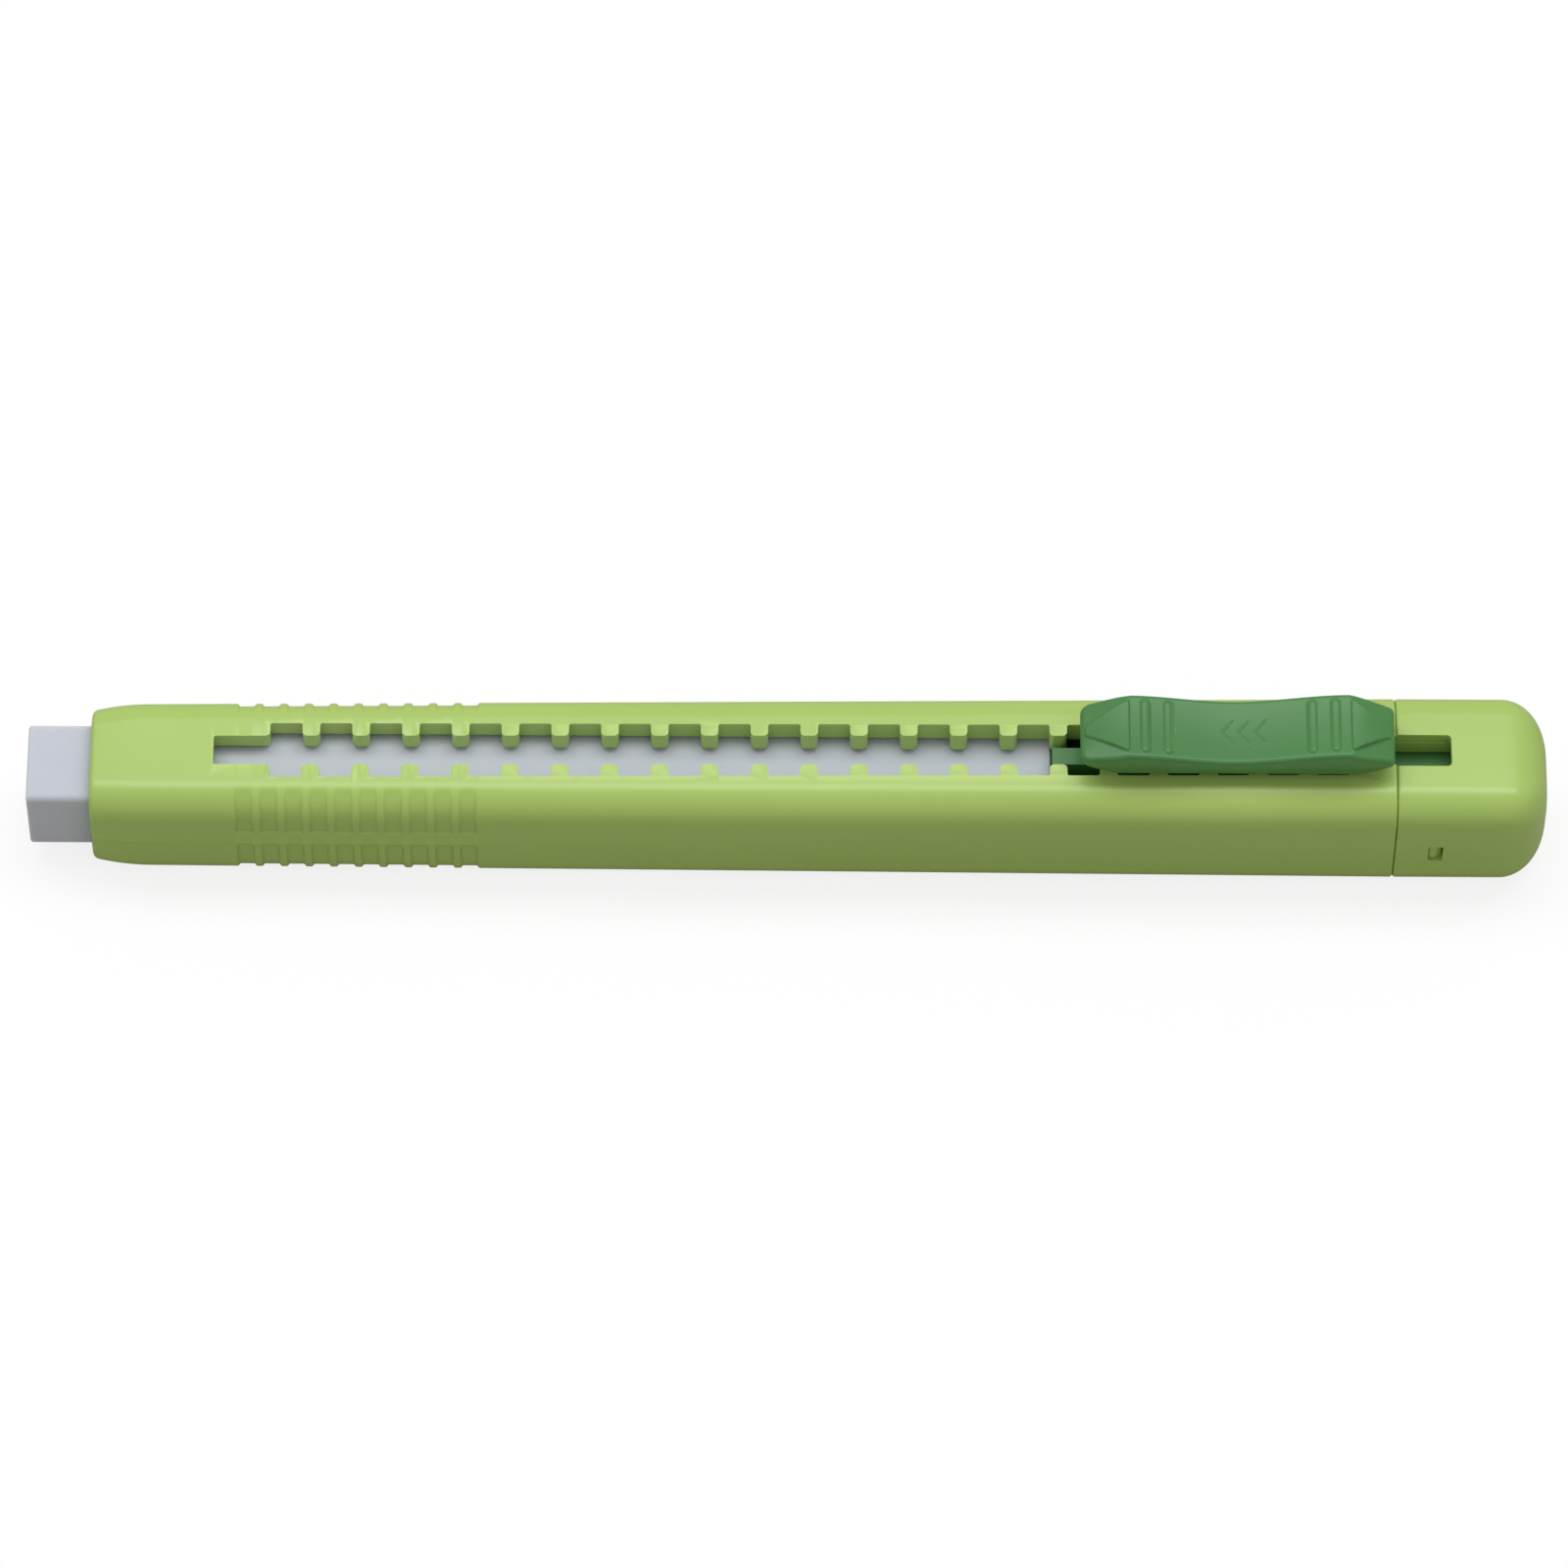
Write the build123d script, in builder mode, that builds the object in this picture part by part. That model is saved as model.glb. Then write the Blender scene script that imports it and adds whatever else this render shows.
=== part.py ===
from build123d import *
from math import cos, radians, sin
import os

os.makedirs("parts", exist_ok=True)

# A click eraser stick, lying on its back: X runs from the eraser's tip to the cap and Z out of the slotted face.
# All lengths are in millimetres. X is zero halfway along the stick and Z is zero on the flat back face.

# Stick: the two mouldings that make its outside
barrel_length = 101.45
cap_length = 11.8

# Eraser: a square bar of soft vinyl
eraser_side = 6.9
eraser_length = 79.65
eraser_corner_radius = 0.6
eraser_end_radius = 0.35

# Barrel: a rounded square tube that widens a little towards the back
front_side = 10.5
rear_side = 11.45
corner_radius = 2.5
nose_length = 4.6
nose_drop = 0.4
nose_shares = (0.3, 0.6, 0.8, 1.0)
mouth_edge_radius = 0.4
mouth_clearance = 0.15
mouth_lip_length = 3.0
mouth_inner_radius = 0.2
bore_width = 8.4
bore_height = 7.6
bore_corner_radius = 0.8
seam_edge_radius = 0.2

# Slot: narrow, with square notches that leave a tooth between each pair
slot_setback = 9.6
slot_width = 2.58
slot_end_radius = 0.2
first_notch_gap = 4.38
notch_front_width = 4.87
notch_rear_width = 4.5
notch_length = 2.51
notch_corner_radius = 0.18
tooth_length = 1.36
tooth_tip_radius = 0.38

# Grip: shallow panels on both sides, with ribs left standing between them
grip_setback = 11.35
grip_margin = 1.65
grip_rib_count = 9
grip_rib_crest = 0.5
grip_rib_flank = 0.12
grip_depth = 0.23
grip_wrap_angle = 70
grip_land_above = 1.5
grip_land_below = 0.4

# Spigot at the back of the barrel, with a snap lug on each side
spigot_length = 7.4
spigot_corner_radius = 1.5
spigot_clearance = 0.05
lug_setback = 3.2
lug_length = 1.0
lug_height = 2.0
lug_drop = 0.5
lug_reach = 0.7

# End cap: a snapped-on shell
cap_wall = 0.98
cap_cavity_depth = 8.6
cap_end_radius = 3.5
cap_end_angles = (0, 20, 35, 48, 60, 71, 80)
cap_corner_loss_share = 0.35
cap_slot_length = 4.25
cap_slot_clearance = 0.09
cap_slot_radius = 0.35
window_clearance = 0.06
window_radius = 0.15
seam_gap = 0.03

# Eraser holder: a tray that slides in the bore, with two jaws at its front
holder_clearance = 0.15
holder_corner_radius = 0.7
jaw_length = 8.0
jaw_clearance = 0.04
jaw_tooth_height = 0.1
jaw_tooth_length = 1.0
jaw_tooth_count = 3
jaw_height = 5.6
eraser_seat_gap = 0.05
holder_plate = 1.2
front_rail_length = 3.6
stem_wall_gap = 1.475
tray_floor = 1.1
tray_wall = 0.75
deck_thickness = 1.1
rail_width = 1.5
rail_drop = 0.9
holder_end_gap = 0.3

# Thumb button: a pad outside the slot, a neck through it and a foot inside
pad_length = 24.35
pad_setback = 2.15
pad_seam_gap = 0.2
pad_lug_inset = 4.175
pad_width = 5.72
pad_front_corner_radius = 0.7
pad_rear_corner_radius = 0.4
pad_rim_height = 1.1
pad_end_rise = 0.6
pad_rise_length = 3.0
pad_front_height = 2.6
pad_front_hump = 3.6
pad_middle_height = 2.72
pad_rear_hump = 3.85
pad_rear_height = 2.45
pad_front_hump_share = 0.16
pad_middle_share = 0.49
pad_rear_hump_share = 0.845
pad_wall = 0.9
pad_core_depth = 0.7
front_arrow_length = 3.8
rear_arrow_length = 3.45
arrow_tip_inset = 0.3
arrow_tip_width = 0.9
arrow_root_radius = 0.35
arrow_flank_drop = 0.95
relief_margin = 0.41
pad_rib_width = 0.85
pad_rib_height = 0.2
pad_rib_gaps = (1.2, 3.0)
pad_relief_radius = 0.15
neck_clearance = 0.18
neck_length = 17.4
stem_gap = 0.4
foot_width = 4.0
foot_length = 12.0
foot_thickness = 0.8
foot_clearance = 0.1
foot_gap = 0.3
lug_seat_gap = 0.03

# Lock spring: a bent leaf with the lug that locks the holder in a notch
leaf_width = 3.4
leaf_thickness = 0.55
lock_lug_length = 2.0
lock_lug_clearance = 0.2
lock_engagement = 0.7
leaf_side_gap = 0.05

# How far cutting shapes run past what they cut
overrun = 2.0

# Notches run to the back of the barrel, counted from 0 at the front
notch_pitch = notch_length + tooth_length
first_notch_depth = slot_setback + first_notch_gap + notch_length / 2
last_notch = int((barrel_length - first_notch_depth - notch_length / 2) / notch_pitch)

# The holder locks in the last of them that leaves the pad its gap to the cap
lock_room = barrel_length - pad_seam_gap - pad_length + pad_lug_inset - first_notch_depth
lock_notch = int(lock_room / notch_pitch)
lock_notch_depth = first_notch_depth + lock_notch * notch_pitch

# The eraser stands out of the mouth by what is left of its length in front of the holder
eraser_end_depth = lock_notch_depth - pad_lug_inset - pad_setback
eraser_reach = eraser_length - eraser_end_depth

# Stations along the stick
total_length = eraser_reach + barrel_length + cap_length
tip_x = -total_length / 2
mouth_x = tip_x + eraser_reach
nose_x = mouth_x + nose_length
seam_x = mouth_x + barrel_length
cap_end_x = seam_x + cap_length
eraser_end_x = mouth_x + eraser_end_depth
spigot_end_x = seam_x + spigot_length
slot_start_x = mouth_x + slot_setback
first_notch_x = mouth_x + first_notch_depth
lock_notch_x = mouth_x + lock_notch_depth
pad_front_x = lock_notch_x - pad_lug_inset
pad_rear_x = pad_front_x + pad_length
stem_front_x = lock_notch_x + lock_lug_length / 2 + stem_gap
stem_rear_x = lock_notch_x - lock_lug_length / 2 + neck_length

# Heights
bore_axis_z = front_side / 2
bore_floor_z = bore_axis_z - bore_height / 2
bore_ceiling_z = bore_axis_z + bore_height / 2
rear_axis_z = rear_side / 2


def across(x, z):
    """The plane square to the stick at x, with its own origin at height z."""
    return Plane(origin=(x, 0, z), x_dir=(0, 1, 0), z_dir=(1, 0, 0))


def side_at(x):
    """The barrel's outer width and height at x, behind the nose."""
    share = (x - nose_x) / (seam_x - nose_x)
    return front_side + (rear_side - front_side) * share


def notch_width_at(n):
    """The width across the slot of notch n: the notches narrow a little towards the back."""
    return notch_front_width + (notch_rear_width - notch_front_width) * n / last_notch


# Panels cut for the grip: gaps between ribs, on the near side, in plan
grip_x = mouth_x + grip_setback
rib_pitch = notch_pitch / 2
grip_length = 2 * grip_margin + (grip_rib_count - 1) * rib_pitch
grip_side = side_at(grip_x + grip_length / 2)
grip_reach = corner_radius * (1 - cos(radians(grip_wrap_angle)))
grip_edges = [grip_x]
for rib in range(grip_rib_count):
    rib_x = grip_x + grip_margin + rib * rib_pitch
    grip_edges += [rib_x - grip_rib_crest / 2, rib_x + grip_rib_crest / 2]
grip_edges.append(grip_x + grip_length)

with BuildPart() as grip_core:
    with BuildSketch(across(nose_x, front_side / 2)):
        RectangleRounded(front_side - 2 * grip_depth, front_side, corner_radius)
    with BuildSketch(across(seam_x, rear_side / 2)):
        RectangleRounded(rear_side - 2 * grip_depth, rear_side, corner_radius)
    loft(ruled=True)

with BuildPart() as grip_panels:
    with BuildSketch(Plane.XY.offset(-overrun)):
        for left, right in zip(grip_edges[::2], grip_edges[1::2]):
            with BuildLine():
                Polyline(
                    (left, -grip_side / 2 - overrun),
                    (left, -grip_side / 2),
                    (left + grip_rib_flank, -grip_side / 2 + grip_depth),
                    (left + grip_rib_flank, -grip_side / 2 + grip_reach),
                    (right - grip_rib_flank, -grip_side / 2 + grip_reach),
                    (right - grip_rib_flank, -grip_side / 2 + grip_depth),
                    (right, -grip_side / 2),
                    (right, -grip_side / 2 - overrun),
                    close=True,
                )
            make_face()
        mirror(about=Plane.XZ)
    extrude(amount=rear_side + 2 * overrun)
    land_height = grip_land_above + grip_land_below
    with Locations((grip_x + grip_length / 2, 0, grip_side / 2 - grip_land_below)):
        Box(
            grip_length + 2 * overrun,
            rear_side + 3 * overrun,
            land_height,
            align=(Align.CENTER, Align.CENTER, Align.MIN),
            mode=Mode.SUBTRACT,
        )
    add(grip_core.part, mode=Mode.SUBTRACT)

# Barrel: the long tapered tube with its nose, slot, grip and rear spigot
spigot_side = rear_side - 2 * cap_wall - 2 * spigot_clearance
lug_x = seam_x + lug_setback
lug_z = rear_axis_z - lug_drop
with BuildPart() as barrel:
    with BuildSketch(Plane.XZ):
        with BuildLine():
            Polyline((nose_x, 0), (seam_x, 0), (seam_x, rear_side), (nose_x, front_side), close=True)
        make_face()
    extrude(amount=rear_side, both=True)
    with BuildSketch():
        with BuildLine():
            Polyline(
                (nose_x, -front_side / 2),
                (seam_x, -rear_side / 2),
                (seam_x, rear_side / 2),
                (nose_x, front_side / 2),
                close=True,
            )
        make_face()
    extrude(amount=rear_side, mode=Mode.INTERSECT)
    fillet(barrel.edges().filter_by(lambda e: e.length > barrel_length / 2), radius=corner_radius)
    fillet(barrel.faces().sort_by(Axis.X)[-1].edges(), radius=seam_edge_radius)
    add(barrel.faces().sort_by(Axis.X)[0])
    for share in nose_shares:
        inset = nose_drop * share**2
        with BuildSketch(across(nose_x - nose_length * share, front_side / 2)):
            RectangleRounded(front_side - 2 * inset, front_side - 2 * inset, corner_radius)
    loft()
    fillet(barrel.faces().sort_by(Axis.X)[0].edges(), radius=mouth_edge_radius)
    with BuildSketch(across(seam_x, rear_axis_z)):
        RectangleRounded(spigot_side, spigot_side, spigot_corner_radius)
    extrude(amount=spigot_length)
    with BuildSketch(across(mouth_x + mouth_lip_length, bore_axis_z)):
        RectangleRounded(bore_width, bore_height, bore_corner_radius)
    extrude(amount=barrel_length + spigot_length, mode=Mode.SUBTRACT)
    mouth_side = eraser_side + 2 * mouth_clearance
    with BuildSketch(across(mouth_x - overrun, bore_axis_z)):
        RectangleRounded(mouth_side, mouth_side, eraser_corner_radius + mouth_clearance)
    extrude(amount=mouth_lip_length + 2 * overrun, mode=Mode.SUBTRACT)
    fillet(barrel.faces().sort_by(Axis.X)[0].inner_wires()[0].edges(), radius=mouth_inner_radius)
    with BuildSketch(Plane.XY.offset(bore_axis_z)) as slot:
        slot_length = spigot_end_x + overrun - slot_start_x
        with Locations((slot_start_x, 0)):
            Rectangle(slot_length, slot_width, align=(Align.MIN, Align.CENTER))
        for n in range(last_notch + 1):
            with Locations((first_notch_x + n * notch_pitch, 0)):
                Rectangle(notch_length, notch_width_at(n))
        tips = slot.vertices().filter_by(
            lambda v: abs(v.Y) < notch_rear_width / 2 - tooth_tip_radius
            and slot_start_x + slot_end_radius < v.X < spigot_end_x
        )
        fillet(tips, radius=tooth_tip_radius)
        corners = slot.vertices().filter_by(
            lambda v: abs(v.Y) > notch_rear_width / 2 - notch_corner_radius
        )
        fillet(corners, radius=notch_corner_radius)
        fillet(slot.vertices().group_by(Axis.X)[0], radius=slot_end_radius)
    extrude(amount=rear_side, mode=Mode.SUBTRACT)
    add(grip_panels.part, mode=Mode.SUBTRACT)
    for side in (-1, 1):
        with BuildSketch(Plane.XY.offset(lug_z - lug_height / 2)):
            with BuildLine():
                Polyline(
                    (lug_x - lug_length / 2, side * (spigot_side / 2 - spigot_clearance)),
                    (lug_x - lug_length / 2, side * (spigot_side / 2 + lug_reach)),
                    (lug_x, side * (spigot_side / 2 + lug_reach)),
                    (lug_x + lug_length / 2, side * (spigot_side / 2 + lug_reach / 2)),
                    (lug_x + lug_length / 2, side * (spigot_side / 2 - spigot_clearance)),
                    close=True,
                )
            make_face()
        extrude(amount=lug_height)

# End cap: a rounded shell over the spigot, with the end of the slot and two snap windows
cap_front_x = seam_x + seam_gap
cap_slot_width = slot_width + 2 * cap_slot_clearance
cap_round_length = cap_end_radius * sin(radians(cap_end_angles[-1]))
with BuildPart() as end_cap:
    with BuildSketch(across(cap_front_x, rear_axis_z)):
        RectangleRounded(rear_side, rear_side, corner_radius)
    extrude(amount=cap_end_x - cap_round_length - cap_front_x)
    fillet(end_cap.faces().sort_by(Axis.X)[0].edges(), radius=seam_edge_radius)
    for angle in cap_end_angles:
        inset = cap_end_radius * (1 - cos(radians(angle)))
        end_side = rear_side - 2 * inset
        loss = cap_corner_loss_share * corner_radius * inset / cap_end_radius
        round_x = cap_end_x - cap_round_length + cap_end_radius * sin(radians(angle))
        with BuildSketch(across(round_x, rear_axis_z)):
            RectangleRounded(end_side, end_side, corner_radius - loss)
    loft()
    cap_inner_side = rear_side - 2 * cap_wall
    with BuildSketch(across(seam_x - overrun, rear_axis_z)):
        RectangleRounded(cap_inner_side, cap_inner_side, spigot_corner_radius + spigot_clearance)
    extrude(amount=cap_cavity_depth + overrun, mode=Mode.SUBTRACT)
    with BuildSketch(Plane.XY.offset(rear_axis_z)) as cap_slot:
        with Locations((seam_x - overrun, 0)):
            Rectangle(cap_slot_length + overrun, cap_slot_width, align=(Align.MIN, Align.CENTER))
        fillet(cap_slot.vertices().group_by(Axis.X)[-1], radius=cap_slot_radius)
    extrude(amount=rear_side, mode=Mode.SUBTRACT)
    with BuildSketch(Plane.XZ):
        with Locations((lug_x, lug_z)):
            RectangleRounded(
                lug_length + 2 * window_clearance,
                lug_height + 2 * window_clearance,
                window_radius,
            )
    extrude(amount=rear_side, both=True, mode=Mode.SUBTRACT)

# Eraser: a square bar with soft long edges and slightly softened ends
with BuildPart() as eraser:
    with BuildSketch(across(tip_x, bore_axis_z)):
        RectangleRounded(eraser_side, eraser_side, eraser_corner_radius)
    extrude(amount=eraser_length)
    ends = eraser.faces().sort_by(Axis.X)[0].edges() + eraser.faces().sort_by(Axis.X)[-1].edges()
    fillet(ends, radius=eraser_end_radius)

# Eraser holder: a tray with jaws and a rail at its front, closed by a deck behind the leaf's cross wall
holder_width = bore_width - 2 * holder_clearance
holder_height = bore_height - 2 * holder_clearance
holder_floor_z = bore_floor_z + holder_clearance
tray_floor_z = holder_floor_z + tray_floor
holder_front_x = eraser_end_x + eraser_seat_gap
holder_rear_x = seam_x + cap_cavity_depth - holder_end_gap
leaf_wall_x = stem_rear_x + stem_wall_gap
rail_top_z = side_at(holder_front_x) - rail_drop
jaw_inner = eraser_side / 2 + jaw_clearance
jaw_thickness = holder_width / 2 - jaw_inner - jaw_tooth_height
with BuildPart() as eraser_holder:
    with BuildSketch(across(holder_front_x, bore_axis_z)):
        RectangleRounded(holder_width, holder_height, holder_corner_radius)
    extrude(amount=holder_rear_x - holder_front_x)
    for front_x, rear_x, pocket_height in (
        (holder_front_x + holder_plate, leaf_wall_x, holder_height),
        (leaf_wall_x + holder_plate, holder_rear_x + overrun, holder_height - tray_floor - deck_thickness),
    ):
        with Locations((front_x, 0, tray_floor_z)):
            Box(
                rear_x - front_x,
                holder_width - 2 * tray_wall,
                pocket_height,
                align=(Align.MIN, Align.CENTER, Align.MIN),
                mode=Mode.SUBTRACT,
            )
    with Locations((holder_front_x, 0, holder_floor_z)):
        Box(
            front_rail_length,
            rail_width,
            rail_top_z - holder_floor_z,
            align=(Align.MIN, Align.CENTER, Align.MIN),
        )
    for side in (-1, 1):
        with BuildSketch(Plane.XY.offset(bore_axis_z - jaw_height / 2)):
            with Locations((eraser_end_x - jaw_length, side * holder_width / 2)):
                Rectangle(
                    jaw_length + 2 * eraser_seat_gap,
                    jaw_thickness,
                    align=(Align.MIN, Align.MAX if side > 0 else Align.MIN),
                )
            tooth_gap = jaw_length / jaw_tooth_count
            for tooth in range(jaw_tooth_count):
                tooth_x = eraser_end_x - jaw_length + tooth_gap / 2 + tooth * tooth_gap
                with BuildLine():
                    Polyline(
                        (tooth_x - jaw_tooth_length / 2, side * (holder_width / 2 - jaw_thickness / 2)),
                        (tooth_x - jaw_tooth_length / 2, side * (holder_width / 2 - jaw_thickness)),
                        (tooth_x, side * jaw_inner),
                        (tooth_x + jaw_tooth_length / 2, side * (holder_width / 2 - jaw_thickness)),
                        (tooth_x + jaw_tooth_length / 2, side * (holder_width / 2 - jaw_thickness / 2)),
                        close=True,
                    )
                make_face()
        extrude(amount=jaw_height)

# Lock spring: a leaf that stands on the tray's floor at the back and carries the lug at its front
foot_top_z = bore_ceiling_z - foot_clearance
foot_bottom_z = foot_top_z - foot_thickness
leaf_top_z = foot_bottom_z - foot_gap
leaf_front_x = lock_notch_x - lock_lug_length / 2
leaf_rear_x = leaf_wall_x - leaf_side_gap
lock_lug_top_z = bore_ceiling_z + lock_engagement
with BuildPart() as lock_spring:
    with BuildSketch(Plane.XZ.offset(-leaf_width / 2)):
        with BuildLine():
            Polyline(
                (leaf_front_x, leaf_top_z),
                (leaf_rear_x, leaf_top_z),
                (leaf_rear_x, tray_floor_z),
                (leaf_rear_x - leaf_thickness, tray_floor_z),
                (leaf_rear_x - leaf_thickness, leaf_top_z - leaf_thickness),
                (leaf_front_x, leaf_top_z - leaf_thickness),
                close=True,
            )
        make_face()
    extrude(amount=leaf_width)
    with Locations((lock_notch_x, 0, leaf_top_z - leaf_thickness)):
        Box(
            lock_lug_length,
            notch_width_at(lock_notch) - 2 * lock_lug_clearance,
            lock_lug_top_z - leaf_top_z + leaf_thickness,
            align=(Align.CENTER, Align.CENTER, Align.MIN),
        )

# Thumb button: the pad follows the thumb, the neck stands on the lug and the foot hangs under the slot
pad_middle_x = (pad_front_x + pad_rear_x) / 2
pad_face_z = side_at(pad_middle_x)
pad_rim_z = pad_face_z + pad_rim_height
relief_width = pad_width - 2 * relief_margin


def pad_top(rise):
    """The pad's top line in side view, lifted by rise."""
    knots = (
        (0, pad_front_height),
        (pad_front_hump_share, pad_front_hump),
        (pad_middle_share, pad_middle_height),
        (pad_rear_hump_share, pad_rear_hump),
        (1, pad_rear_height),
    )
    return [(pad_front_x + pad_length * share, pad_face_z + height + rise) for share, height in knots]


def flank_plane(end_x, arrow_length, end_height, hump, side):
    """The plane that cuts a corner of the pad: from the arrow's edge down to the corner."""
    tip = Vector(end_x, side * arrow_tip_width / 2, pad_face_z + end_height)
    root = Vector(end_x + arrow_length, side * relief_width / 2, pad_face_z + hump)
    corner = Vector(end_x, side * pad_width / 2, pad_face_z + end_height - arrow_flank_drop)
    normal = (root - tip).cross(corner - tip)
    if normal.Z < 0:
        normal = -normal
    return Plane(origin=tip, x_dir=root - tip, z_dir=normal)


# Relief on the pad: ribs across it and an arrowhead at each end, all following the pad's top line
with BuildPart() as pad_relief:
    with BuildSketch(Plane.XY.offset(pad_face_z)):
        rib_places = [(pad_front_x + front_arrow_length + gap, 0) for gap in pad_rib_gaps]
        rib_places += [(pad_rear_x - rear_arrow_length - gap, 0) for gap in pad_rib_gaps]
        with Locations(rib_places):
            SlotOverall(relief_width, pad_rib_width, rotation=90)
        for arrow_tip_x, arrow_root_x in (
            (pad_front_x + arrow_tip_inset, pad_front_x + front_arrow_length),
            (pad_rear_x - arrow_tip_inset, pad_rear_x - rear_arrow_length),
        ):
            with BuildSketch(mode=Mode.PRIVATE) as arrow:
                with BuildLine():
                    Polyline(
                        (arrow_tip_x, -arrow_tip_width / 2),
                        (arrow_tip_x, arrow_tip_width / 2),
                        (arrow_root_x, relief_width / 2),
                        (arrow_root_x, -relief_width / 2),
                        close=True,
                    )
                make_face()
                roots = arrow.vertices().filter_by(lambda v: abs(v.Y) > arrow_tip_width)
                fillet(roots, radius=arrow_root_radius)
            add(arrow.sketch)
    extrude(amount=pad_front_hump + pad_rear_hump)
    with BuildSketch(Plane.XZ.offset(-pad_width / 2)):
        with BuildLine():
            top = Spline(*pad_top(pad_rib_height))
            bottom = Spline(*pad_top(-pad_rib_height))
            Line(top @ 0, bottom @ 0)
            Line(top @ 1, bottom @ 1)
        make_face()
    extrude(amount=pad_width, mode=Mode.INTERSECT)
    fillet(
        pad_relief.faces().filter_by(lambda f: f.normal_at().Z > 0).edges(),
        radius=pad_relief_radius,
    )

with BuildPart() as thumb_button:
    with BuildSketch(Plane.XZ.offset(-pad_width / 2)):
        with BuildLine():
            top = Spline(*pad_top(0))
            Polyline(
                top @ 1,
                (pad_rear_x, pad_rim_z + pad_end_rise),
                (pad_rear_x - pad_rise_length, pad_rim_z),
                (pad_front_x + pad_rise_length, pad_rim_z),
                (pad_front_x, pad_rim_z + pad_end_rise),
                top @ 0,
            )
        make_face()
    extrude(amount=pad_width)
    fillet(thumb_button.edges().filter_by(Axis.Z).group_by(Axis.X)[0], radius=pad_front_corner_radius)
    fillet(thumb_button.edges().filter_by(Axis.Z).group_by(Axis.X)[-1], radius=pad_rear_corner_radius)
    for end_x, arrow_length, height, hump in (
        (pad_front_x, front_arrow_length, pad_front_height, pad_front_hump),
        (pad_rear_x, -rear_arrow_length, pad_rear_height, pad_rear_hump),
    ):
        for side in (-1, 1):
            with BuildSketch(flank_plane(end_x, arrow_length, height, hump, side)):
                Rectangle(2 * pad_length, 2 * pad_length)
            extrude(amount=2 * pad_width, mode=Mode.SUBTRACT)
    # the underside is cored out, so that the pad is a shell
    with Locations((pad_middle_x, 0, pad_rim_z)):
        Box(
            pad_length - 2 * pad_rise_length,
            pad_width - 2 * pad_wall,
            pad_core_depth,
            align=(Align.CENTER, Align.CENTER, Align.MIN),
            mode=Mode.SUBTRACT,
        )
    add(pad_relief.part)
    neck_width = slot_width - 2 * neck_clearance
    for front_x, bottom_z in (
        (lock_notch_x - lock_lug_length / 2, lock_lug_top_z + lug_seat_gap),
        (stem_front_x, foot_bottom_z),
    ):
        with Locations((front_x, 0, bottom_z)):
            Box(
                stem_rear_x - front_x,
                neck_width,
                pad_rim_z + pad_core_depth - bottom_z,
                align=(Align.MIN, Align.CENTER, Align.MIN),
            )
    with Locations(((stem_front_x + stem_rear_x) / 2, 0, foot_bottom_z)):
        Box(
            foot_length,
            foot_width,
            foot_thickness,
            align=(Align.CENTER, Align.CENTER, Align.MIN),
        )

pieces = {
    "barrel": barrel,
    "end_cap": end_cap,
    "eraser": eraser,
    "eraser_holder": eraser_holder,
    "lock_spring": lock_spring,
    "thumb_button": thumb_button,
}
for name, piece in pieces.items():
    piece.part.label = name
    export_step(piece.part, f"parts/{name}.step")
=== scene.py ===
from math import cos, hypot, radians, sin, sqrt

import bmesh
import bpy
from mathutils import Matrix, Vector


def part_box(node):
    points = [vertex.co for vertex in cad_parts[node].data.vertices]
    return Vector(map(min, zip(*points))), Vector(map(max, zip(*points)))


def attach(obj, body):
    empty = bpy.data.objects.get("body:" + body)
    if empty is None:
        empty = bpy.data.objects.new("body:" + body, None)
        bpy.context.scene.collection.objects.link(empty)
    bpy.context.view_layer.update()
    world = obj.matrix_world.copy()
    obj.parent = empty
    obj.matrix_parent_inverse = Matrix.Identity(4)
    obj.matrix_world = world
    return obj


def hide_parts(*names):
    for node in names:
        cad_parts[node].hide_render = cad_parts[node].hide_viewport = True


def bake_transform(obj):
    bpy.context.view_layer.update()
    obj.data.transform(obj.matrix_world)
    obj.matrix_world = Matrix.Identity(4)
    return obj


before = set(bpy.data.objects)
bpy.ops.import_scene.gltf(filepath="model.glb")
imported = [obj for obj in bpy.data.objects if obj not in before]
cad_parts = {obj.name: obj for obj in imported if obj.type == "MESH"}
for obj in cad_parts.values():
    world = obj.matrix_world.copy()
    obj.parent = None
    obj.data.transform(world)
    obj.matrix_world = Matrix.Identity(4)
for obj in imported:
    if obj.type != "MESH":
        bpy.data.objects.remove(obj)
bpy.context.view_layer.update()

# Barrel: one long injection moulding in light green plastic. A rounded square tube, wider at the back, with a
# rounded nose, a toothed slot in its upper face, ribbed grip panels in both sides and a stepped spigot behind.
mm = 0.001
barrel_low, barrel_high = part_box("barrel")
cap_low, cap_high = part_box("end_cap")
mouth_x = barrel_low.x
spigot_end_x = barrel_high.x
rear_side = cap_high.z
seam_gap = 0.03 * mm
seam_x = cap_low.x - seam_gap
front_side = 10.5 * mm
corner_radius = 2.5 * mm
corner_steps = 14
nose_length = 4.6 * mm
nose_drop = 0.4 * mm
mouth_edge_radius = 0.4 * mm
mouth_side = 7.2 * mm
mouth_corner_radius = 0.75 * mm
mouth_lip_length = 3.0 * mm
mouth_inner_radius = 0.2 * mm
bore_width = 8.4 * mm
bore_height = 7.6 * mm
bore_corner_radius = 0.8 * mm
bore_axis_z = front_side / 2
seam_edge_radius = 0.2 * mm
cap_wall = 0.98 * mm
spigot_clearance = 0.05 * mm
spigot_side = rear_side - 2 * cap_wall - 2 * spigot_clearance
spigot_corner_radius = 1.5 * mm
nose_x = mouth_x + nose_length
rear_ring_places = (7.0 * mm, 9.2 * mm)

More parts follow.
